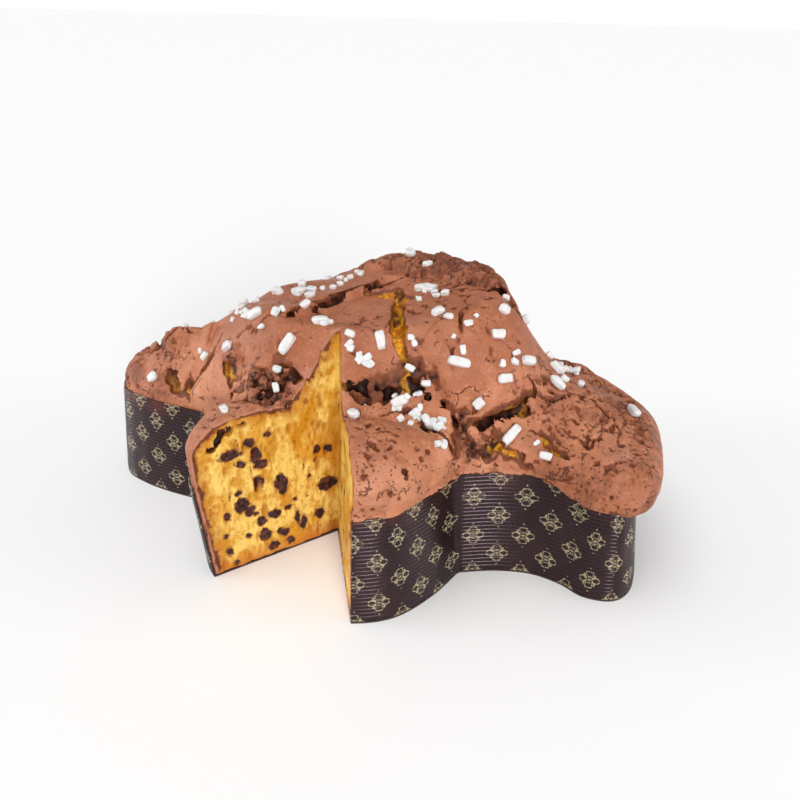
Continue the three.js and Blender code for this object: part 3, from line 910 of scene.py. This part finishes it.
def printed_ink(s, round_it, up):
    """Rows of four-petalled outlines with dots, every other column half a step higher."""
    column = s.math("FLOOR", s.math("DIVIDE", round_it, MOTIF_PITCH))
    across = s.minus(round_it, s.times(s.add(column, 0.5), MOTIF_PITCH))
    shifted = s.add(up, s.times(s.math("MODULO", column, 2.0), MOTIF_RISE / 2))
    row = s.math("FLOOR", s.math("DIVIDE", shifted, MOTIF_RISE))
    above = s.minus(shifted, s.times(s.add(row, 0.5), MOTIF_RISE))
    wide = s.math("ABSOLUTE", across)
    tall = s.math("ABSOLUTE", above)

    def distance(x, y, at_x, at_y):
        dx = s.minus(x, at_x)
        dy = s.minus(y, at_y)
        return s.math("SQRT", s.add(s.times(dx, dx), s.times(dy, dy)))

    # Each petal is a scalloped ring with a notch at its tip.
    scallop = s.times(s.math("SINE", s.times(s.math("ARCTAN2", tall, wide), SCALLOPS)), SCALLOP_DEPTH)
    ring = s.add(scallop, PETAL_RADIUS)
    side_petal = s.math("ABSOLUTE", s.minus(distance(wide, above, PETAL_AT, 0), ring))
    end_petal = s.math("ABSOLUTE", s.minus(distance(across, tall, 0, PETAL_AT), ring))
    petal_line = s.ramp(s.math("MINIMUM", side_petal, end_petal), 0.42, 0.2)
    notch = s.math("MINIMUM", distance(wide, tall, PETAL_TIP, 0), distance(wide, tall, 0, PETAL_TIP))
    ink = s.times(petal_line, s.ramp(notch, 0.35, 0.6))
    # The diagonals show only where they cross a petal's line.
    ink = s.larger(ink, s.ramp(s.math("ABSOLUTE", s.minus(wide, tall)), 0.35, 0.15))
    ink = s.times(ink, s.ramp(distance(wide, tall, 0, 0), MOTIF_RADIUS, MOTIF_RADIUS - 0.3))
    ink = s.times(ink, petal_line)
    eye = s.ramp(s.add(s.times(wide, 0.55), tall), 0.95, 0.6)
    dot = s.ramp(distance(across, tall, 0, DOT_AT), 0.55, 0.3)
    leaf_dot = s.ramp(distance(wide, tall, LEAF_AT, LEAF_AT), 0.7, 0.45)
    ink = s.larger(s.larger(ink, leaf_dot), s.larger(eye, dot))
    worn = s.ramp(s.noise(1.2, 3), 0.28, 0.5, 0.35, 1.0)
    return s.times(ink, worn)


def paper_material():
    """Ribbed dark paper with its print, stained below the rim."""
    s = Shader("mould_paper")
    up = s.value_of("up_mould")
    ink = printed_ink(s, s.value_of("round_mould"), up)
    paper = s.mottled((30, 15, 16), (40, 23, 25), 18)
    stain = s.times(s.ramp(up, 44, 56), s.ramp(s.noise(16, 3), 0.45, 0.7))
    paper = s.mix(s.times(stain, 0.5), paper, (96, 48, 36))
    colour = s.mix(s.times(ink, 0.85), paper, (168, 156, 124))
    return s.finish(colour, s.varied(0.22, 0.32, 2.0), s.bump(s.noise(0.8, 3), 0.03, 0.3),
                    Specular_IOR_Level=0.34, Specular_Tint=(0.95, 0.74, 0.79, 1))


def base_material():
    s = Shader("base_paper")
    colour = s.mottled((58, 40, 43), (74, 54, 56), 12)
    return s.finish(colour, 0.55, s.bump(s.noise(0.9, 3), 0.05, 0.6))


def sugar_material():
    s = Shader("pearl_sugar")
    colour = s.mottled((208, 206, 205), (222, 220, 218), 2.5, 3, 0.3, 0.7)
    return s.finish(colour, s.varied(0.35, 0.6, 1.5, 2), s.bump(s.noise(0.7, 4), 0.12, 0.8),
                    Subsurface_Weight=0.25, Subsurface_Scale=0.001)


# ---- the paper mould ----

RIBS = 26
RIB_DEPTH = 0.27
ROWS_PER_RIB = 4
INNER_ROWS = 7
WALL_STEP = 2.2
BASE_INSET = 0.2


def resampled(loop, step):
    """A closed loop in equal steps from the missing slice's mouth, and how far round each step is."""
    mouth = (HEAD_END + TAIL_END) / 2
    loop = np.roll(loop, -int(np.argmin(np.linalg.norm(loop - mouth, axis=1))), 0)
    closed = np.vstack([loop, loop[:1]])
    done = np.concatenate([[0], np.cumsum(np.linalg.norm(np.diff(closed, axis=0), axis=1))])
    at = np.linspace(0, done[-1], int(done[-1] / step), endpoint=False)
    return np.column_stack([np.interp(at, done, closed[:, i]) for i in (0, 1)]), at


def cut_out_slice(piece):
    """Cuts the missing slice out of a piece and closes the two ends."""
    mesh = bmesh.new()
    mesh.from_mesh(piece.data)
    upward = Vector((*(INTO_CAKE * KNIFE_TILT), 1))
    for end, _ in SLICE_SIDES:
        along = Vector((*(end - APEX), 0))
        bmesh.ops.bisect_plane(mesh, geom=mesh.verts[:] + mesh.edges[:] + mesh.faces[:],
                               plane_co=Vector((*APEX, 0)) * MM,
                               plane_no=along.cross(upward).normalized(), dist=1e-7)
    centres = np.array([face.calc_center_median() for face in mesh.faces]) / MM
    within = outside_slice(*centres.T) < 0
    doomed = [face for face, cut in zip(mesh.faces, within) if cut]
    bmesh.ops.delete(mesh, geom=doomed, context="FACES")
    bmesh.ops.holes_fill(mesh, edges=[edge for edge in mesh.edges if edge.is_boundary], sides=0)
    mesh.to_mesh(piece.data)
    mesh.free()


def make_paper_wall():
    foot, run = resampled(FOOT, WALL_STEP)
    out = outward_of(foot)
    lean = rim_offset(*foot.T)
    low = PAPER + GAP
    # The section of the wall: up its ribbed outside and down its plain inside.
    rows = RIBS * ROWS_PER_RIB
    profile = []
    for k in range(rows + 1):
        wave = math.cos(2 * math.pi * k / ROWS_PER_RIB) - 1 if 0 < k < rows else -1
        profile.append((low + (RIM - low) * k / rows, RIB_DEPTH * wave))
    for k in range(INNER_ROWS, -1, -1):
        profile.append((low + (RIM - low) * k / INNER_ROWS, -PAPER))
    n, m = len(foot), len(profile)
    points = []
    for z, moved in profile:
        offset = lean * (z - low) / (RIM - low) + moved
        points.append(np.column_stack([foot + out * offset[:, None], np.full(n, z)]))
    faces = []
    for k in range(m):
        for i in range(n):
            j = (i + 1) % n
            faces.append((k * n + i, k * n + j, (k + 1) % m * n + j, (k + 1) % m * n + i))
    piece = new_object("paper_wall_printed", np.vstack(points), faces)
    add_values(piece, "round_mould", np.tile(run, m))
    add_values(piece, "up_mould", np.repeat([z for z, _ in profile], n))
    cut_out_slice(piece)
    return piece


def make_paper_base():
    foot, _ = resampled(FOOT, WALL_STEP)
    foot = foot - outward_of(foot) * BASE_INSET
    n = len(foot)
    points = np.vstack([np.column_stack([foot, np.full(n, z)]) for z in (0.0, PAPER)])
    faces = [(i, (i + 1) % n, n + (i + 1) % n, n + i) for i in range(n)]
    faces += [tuple(range(n))[::-1], tuple(range(n, 2 * n))]
    piece = new_object("paper_base_sheet", points, faces, smooth=False)
    cut_out_slice(piece)
    return piece


# ---- sugar ----

# No grain may stand out of the top of the CAD model's box.
HIGHEST = cad_high[2] / MM - 0.1
SQUARENESS = 4.5
# How far a grain's middle is above the crust, and how big it is, as shares of the CAD grain's half sizes.
SITS_UP, FILLS = 0.55, 0.9
STEEPEST = 1.2
SMALL, DROP = 2.5, 6


def squared_ball():
    """The points and faces of a ball about 2 across, flattened a little on six sides."""
    ball = bmesh.new()
    bmesh.ops.create_icosphere(ball, subdivisions=3, radius=1)
    points = np.array([corner.co for corner in ball.verts])
    faces = np.array([[corner.index for corner in face.verts] for face in ball.faces])
    ball.free()
    return points / (np.abs(points) ** SQUARENESS).sum(1)[:, None] ** (1 / SQUARENESS), faces


def make_sugar(loaf, sizes):
    """Rounded, slightly squared grains lying on the crust, from a place, heading and half sizes each. One
    that reaches past the loaf, or a small one over a drop, is left out."""
    tree = BVHTree.FromObject(loaf, bpy.context.evaluated_depsgraph_get())
    ball, ball_faces = squared_ball()
    all_points, all_faces = [], []

    def crust_under(place):
        hit = tree.ray_cast(Vector((*(place * MM), 0.2)), Vector((0, 0, -1)))[0]
        return None if hit is None else hit.z / MM

    for x, y, heading, half in sizes:
        along = np.array([math.cos(heading), math.sin(heading)])
        across = np.array([-along[1], along[0]])
        reach = max(half[0] * 0.8, 1.5)
        steps = (along * reach, -along * reach, across * reach, -across * reach, 0 * along)
        probes = [crust_under(np.array([x, y]) + step) for step in steps]
        if None in probes or max(probes) > HIGHEST:
            continue
        if half[0] < SMALL and max(probes) - min(probes) > DROP:
            continue
        ahead, behind, left, right, middle = probes
        pitch = np.clip((ahead - behind) / (2 * reach), -STEEPEST, STEEPEST)
        roll = np.clip((left - right) / (2 * reach), -STEEPEST, STEEPEST)
        u = unit(np.array([*along, pitch]))
        w = unit(np.cross(u, np.array([*across, roll])))
        v = np.cross(w, u)
        height = max((ahead + behind) / 2, middle, (left + right) / 2)
        centre = np.array([x, y, height]) + w * half[2] * SITS_UP
        waves = 2 * rng.normal(0, 1, (4, 3))
        phases = rng.uniform(0, 6.28, 4)
        bumpy = 1 + 0.05 * sum(np.sin(ball @ wave + phase) for wave, phase in zip(waves, phases))
        bumpy = bumpy + 0.015 * rng.normal(0, 1, len(ball))
        grain = centre + ball * bumpy[:, None] * np.array(half) * FILLS @ np.vstack([u, v, w])
        grain[:, 2] -= max(0, grain[:, 2].max() - HIGHEST)
        all_faces.append(ball_faces + len(ball) * len(all_points))
        all_points.append(grain)
    return np.vstack(all_points), np.vstack(all_faces).tolist()


sugar_nodes = sorted(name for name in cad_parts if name.startswith("sugar_grain"))


def grain_sizes():
    """The place, heading and half sizes of each of the CAD model's grains."""
    sizes = []
    for name in sugar_nodes:
        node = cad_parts[name]
        corners = np.array([node.matrix_world @ corner.co for corner in node.data.vertices]) / MM
        middle = (corners.min(0) + corners.max(0)) / 2
        _, axes = np.linalg.eigh(np.cov((corners - middle).T))
        heading = math.atan2(axes[1, 2], axes[0, 2])
        reach = np.abs((corners - middle) @ axes).max(0)
        sizes.append((middle[0], middle[1], heading, (reach[2], reach[1], reach[1] * 0.85)))
    return sizes


# Heaps of small grains along the edges of the plates: middle, reach and how many.
HEAPS = [
    (5, -45, 5, 8), (15, -47, 6, 9), (32, -50, 7, 8), (42, -50, 7, 8), (52, -53, 6, 5), (60, -61, 6, 4),
    (32, 12, 5, 6), (39, 4, 4, 3), (-36, 6, 8, 6), (-26, 6, 7, 3), (-9, -31, 4, 3), (-36, -27, 5, 3),
    (-56, -19, 6, 4), (-69, -14, 5, 2), (-15, 28, 10, 6), (-30, -47, 6, 3), (-86, -14, 4, 2),
    (-50, -70, 6, 2), (46, -19, 5, 2), (38, -37, 5, 2), (56, -28, 6, 2), (70, -24, 8, 3), (83, -17, 5, 3),
    (102, 0, 8, 4), (111, 18, 8, 4), (50, 96, 10, 3), (104, -50, 6, 3), (20, 70, 22, 4), (-84, 8, 10, 2),
]


def crumb_sizes():
    """The place, heading and half sizes of the small grains, which the CAD model leaves out."""
    sizes = []
    for at_x, at_y, reach, count in HEAPS:
        for _ in range(count):
            x, y = rng.normal((at_x, at_y), reach / 2)
            wide = rng.uniform(1.1, 2.1)
            long = wide * rng.uniform(1.1, 1.7)
            sizes.append((x, y, rng.uniform(0, math.pi), (long, wide, wide * 0.8)))
    # They keep 3 mm off the slice, which is measured at a height of 100 mm.
    return [size for size in sizes if outside_slice(*size[:2], 100) > 3]


loaf = make_loaf()
loaf.data.materials.append(crust_material())
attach(loaf, "root")
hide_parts("cake")

wall = make_paper_wall()
wall.data.materials.append(paper_material())
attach(wall, "root")
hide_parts("paper_wall")

base = make_paper_base()
base.data.materials.append(base_material())
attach(base, "root")
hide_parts("paper_base")

grains = new_object("pearl_sugar", *make_sugar(loaf, grain_sizes()))
grains.data.materials.append(sugar_material())
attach(grains, "root")
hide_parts(*sugar_nodes)

small_grains = new_object("sugar_crumbs", *make_sugar(loaf, crumb_sizes()))
small_grains.data.materials.append(grains.data.materials[0])
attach(small_grains, "root")

# ---- the studio ----

FLOOR_HALF = 2500.0

floor_corners = np.array([(-1, -1, 0), (1, -1, 0), (1, 1, 0), (-1, 1, 0)]) * FLOOR_HALF
floor = new_object("floor", floor_corners, [(0, 1, 2, 3)])
floor.data.materials.append(Shader("floor").finish((0.92, 0.92, 0.92, 1), 0.7))


def soft_light(name, comes_from, power, spread_degrees):
    """A sun with a wide disc, so that its shadows are soft."""
    data = bpy.data.lights.new(name, "SUN")
    data.energy = power
    data.angle = math.radians(spread_degrees)
    put_aimed(name, data, comes_from, (0, 0, 0))


soft_light("front", (0.44, -0.84, 0.33), 1.55, 18)
soft_light("left", (-0.97, -0.15, 0.18), 1.0, 20)
soft_light("top", (-0.15, -0.3, 1.0), 1.25, 50)
soft_light("rim", (0.95, 0.12, 0.22), 0.7, 30)


def make_sky():
    """White at the horizon, where it meets the floor, and softer overhead."""
    world = bpy.data.worlds.new("studio")
    world.use_nodes = True
    nodes, links = world.node_tree.nodes, world.node_tree.links
    background = nodes["Background"]
    background.inputs["Color"].default_value = (1, 1, 1, 1)
    place = nodes.new("ShaderNodeTexCoord")
    parts = nodes.new("ShaderNodeSeparateXYZ")
    ramp = nodes.new("ShaderNodeMapRange")
    links.new(place.outputs["Generated"], parts.inputs[0])
    links.new(parts.outputs[2], ramp.inputs["Value"])
    for socket, given in (("From Min", 0.10), ("From Max", 0.22), ("To Min", 1.15), ("To Max", 0.42)):
        ramp.inputs[socket].default_value = given
    links.new(ramp.outputs["Result"], background.inputs["Strength"])
    bpy.context.scene.world = world


make_sky()
bpy.context.scene.view_settings.view_transform = "Standard"
